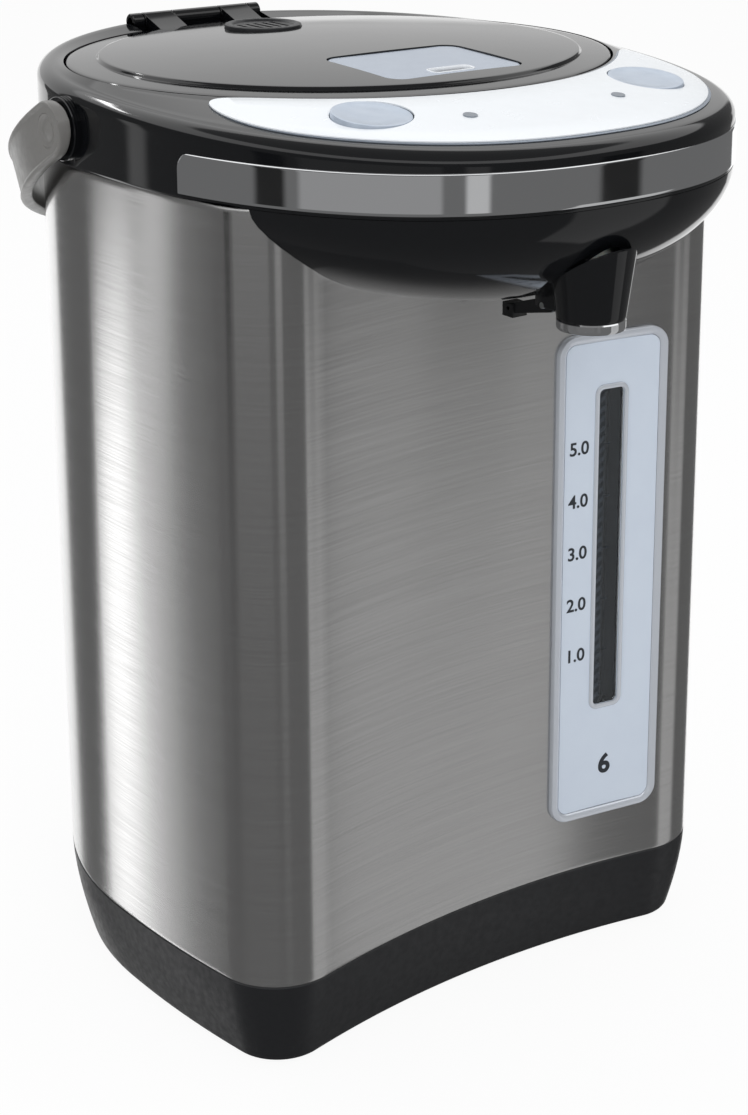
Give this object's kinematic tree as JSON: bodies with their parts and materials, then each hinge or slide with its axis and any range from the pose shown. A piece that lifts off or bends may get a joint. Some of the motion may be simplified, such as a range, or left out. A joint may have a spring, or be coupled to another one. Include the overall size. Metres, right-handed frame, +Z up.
{
  "type": "electric thermo pot",
  "caption": "Insulated electric kettle with a steel casing, a hinged lid with a hand pump, a beak with a spout and cup lever, a level gauge and a swinging handle.",
  "frame": {"origin": "on the surface the pot stands on, in the middle of its width and depth", "axes": "+Z up, -Y towards the spout, +X towards the side with the level gauge"},
  "size_m": [0.262, 0.304, 0.3761],
  "materials": {
    "steel_sheet": "fine brushed around the casing",
    "inner_steel": "satin stainless steel",
    "zinc_steel": "zinc plated steel",
    "black_gloss": "moulded, high gloss",
    "black_satin": "moulded, satin",
    "handle_grey": "moulded, satin",
    "chrome_trim": "bright chrome plate",
    "panel_white": "printed film, satin",
    "silver_paint": "silver paint on plastic",
    "gauge_grey": "pale blue-grey, semi gloss",
    "clear_plastic": "smoked clear plastic",
    "tube_glass": "clear glass",
    "lens_amber": "clear amber plastic",
    "silicone": "translucent silicone",
    "black_rubber": "matt",
    "white_plastic": "moulded, satin",
    "circuit_green": "glass fibre board",
    "heater_alloy": "cast aluminium",
    "mica": "mica band"
  },
  "bodies": {
    "root": {"base_shell": "black_satin", "bottom_plate": "black_satin", "rubber_feet": "black_rubber", "bottom_screws": "zinc_steel", "tie_rods": "zinc_steel", "steel_casing": "steel_sheet", "gauge_frame": "silver_paint", "gauge_plate": "gauge_grey", "gauge_window": "clear_plastic", "gauge_backing": "white_plastic", "sight_tube": "tube_glass", "tube_couplings": "silicone", "pump_motor": "zinc_steel", "pump_body": "white_plastic", "inlet_hose": "silicone", "riser_hose": "silicone", "outlet_hose": "silicone", "inner_vessel": "inner_steel", "strainer": "inner_steel", "vessel_seal": "silicone", "heater_plate": "heater_alloy", "thermostats": "white_plastic", "heat_shield": "inner_steel", "keep_warm_band": "mica", "power_inlet": "black_satin", "inlet_pins": "zinc_steel", "head_shell": "black_gloss", "mouth_ring": "black_satin", "chrome_band": "chrome_trim", "beak_cover": "black_gloss", "panel_bezel": "silver_paint", "control_panel": "panel_white", "indicator_lenses": "lens_amber", "control_board": "circuit_green", "button_switches": "black_satin", "spout_hood": "black_satin", "spout_ring": "chrome_trim", "outlet_pipe": "inner_steel", "lever_pin": "zinc_steel", "lever_switch": "black_satin", "handle_pivots": "zinc_steel", "hinge_pin": "zinc_steel"},
    "impeller": {"pump_impeller": "black_satin"},
    "lid": {"lid_shell": "black_gloss", "lid_core": "black_satin", "lid_screws": "zinc_steel", "lid_underplate": "inner_steel", "lid_seal": "silicone", "steam_vent": "black_satin", "air_bellows": "black_rubber", "press_spring": "zinc_steel"},
    "press": {"press_plate": "gauge_grey"},
    "latch": {"lid_latch": "silver_paint", "latch_spring": "zinc_steel"},
    "handle": {"carry_handle": "handle_grey", "pivot_caps": "handle_grey"},
    "lever": {"cup_lever": "black_satin"},
    "right_button": {"right_button": "panel_white"},
    "left_button": {"left_button": "panel_white"}
  },
  "joints": [
    {"name": "lid_hinge", "type": "hinge", "parent": "root", "child": "lid", "pos_m": [0, 0.12832, 0.3715], "axis": [-1, 0, 0], "range_deg": [0, 80]},
    {"name": "press_slide", "type": "slide", "parent": "lid", "child": "press", "axis": [0, 0, -1], "range_m": [0, 0.005], "stiffness_N_per_m": 400, "springref_m": -0.004, "deforming": ["press_spring", "air_bellows"]},
    {"name": "latch_slide", "type": "slide", "parent": "lid", "child": "latch", "axis": [0, 1, 0], "range_m": [0, 0.003], "stiffness_N_per_m": 300, "springref_m": -0.003},
    {"name": "handle_swing", "type": "hinge", "parent": "root", "child": "handle", "pos_m": [0, 0.02132, 0.352], "axis": [1, 0, 0], "range_deg": [0, 150]},
    {"name": "lever_hinge", "type": "hinge", "parent": "root", "child": "lever", "pos_m": [0, -0.11488, 0.2948], "axis": [1, 0, 0], "range_deg": [0, 4], "stiffness_Nm_per_rad": 0.08, "springref_deg": -17.19},
    {"name": "right_button_press", "type": "slide", "parent": "root", "child": "right_button", "axis": [0, 0.1436, -0.9896], "range_m": [0, 0.0015], "stiffness_N_per_m": 500, "springref_m": -0.002},
    {"name": "left_button_press", "type": "slide", "parent": "root", "child": "left_button", "axis": [0, 0.1436, -0.9896], "range_m": [0, 0.0015], "stiffness_N_per_m": 500, "springref_m": -0.002},
    {"name": "impeller_spin", "type": "hinge", "parent": "root", "child": "impeller", "pos_m": [0.04, -0.02868, 0.06], "axis": [0, 0, 1], "continuous": true}
  ]
}
